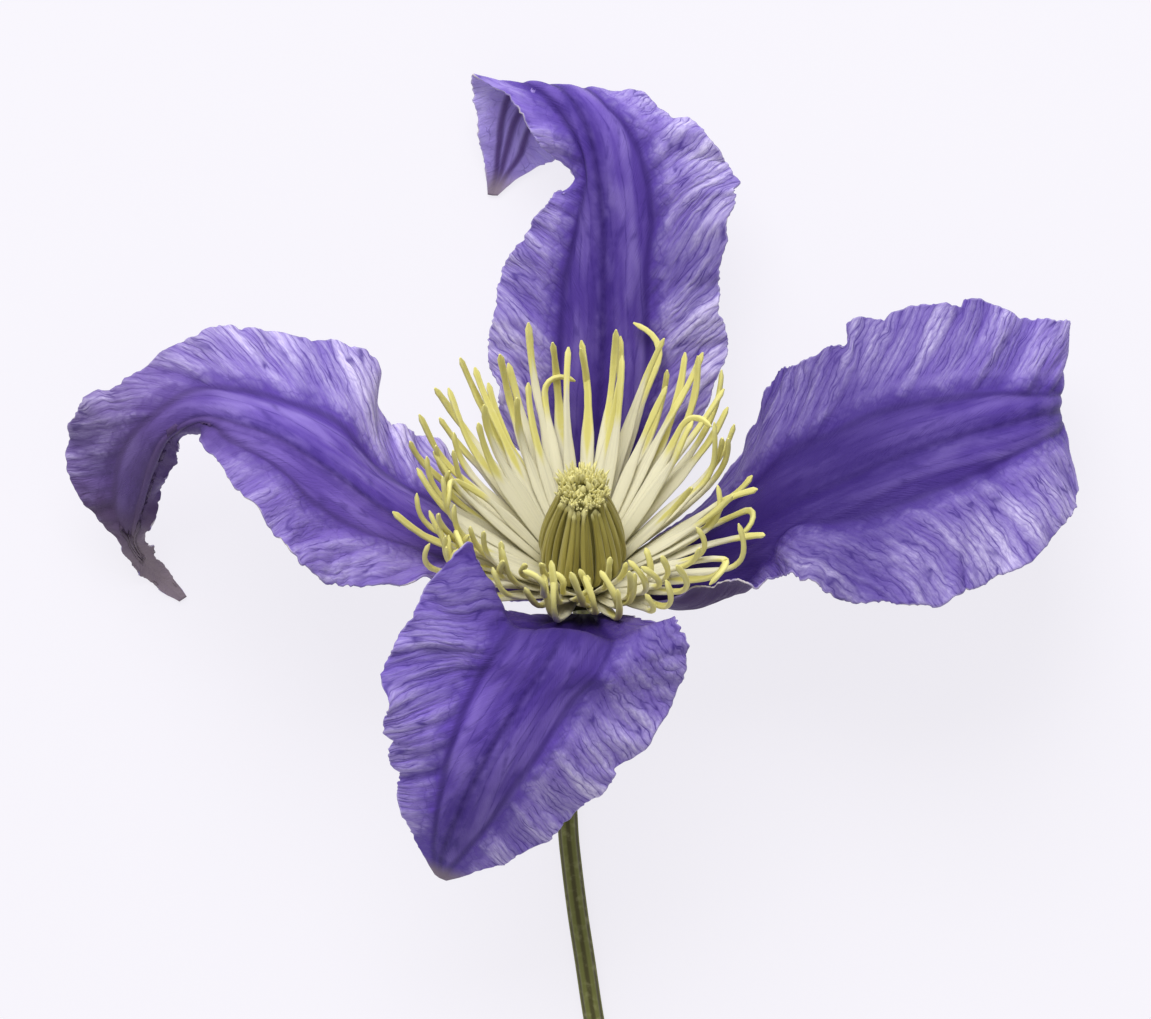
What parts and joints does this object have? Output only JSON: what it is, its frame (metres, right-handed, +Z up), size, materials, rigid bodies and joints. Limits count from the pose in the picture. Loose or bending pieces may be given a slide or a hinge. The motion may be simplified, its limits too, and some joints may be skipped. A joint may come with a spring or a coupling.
{
  "type": "clematis flower",
  "caption": "Single clematis flower with pointed violet-blue tepals, a bowl of cream and yellow stamens, a green column of carpels and a thin cut stem, lying down.",
  "frame": {"origin": "on the surface that the flower lies on, below the middle of its box", "axes": "+Z up off the surface, +Y from the cut end of the stem towards the flower head, +X to the right"},
  "size_m": [0.0812, 0.0936, 0.0294],
  "materials": {
    "tepal": "silky, finely veined violet-blue",
    "stamen": "matte cream filaments with yellow anthers",
    "carpel": "matte olive-yellow with pale tips",
    "stem": "matte olive green, finely ribbed"
  },
  "bodies": {
    "root": {"tepal_back": "tepal", "tepal_left": "tepal", "tepal_right": "tepal", "tepal_front": "tepal", "stamens": "stamen", "carpels": "carpel", "stem": "stem"}
  },
  "joints": []
}
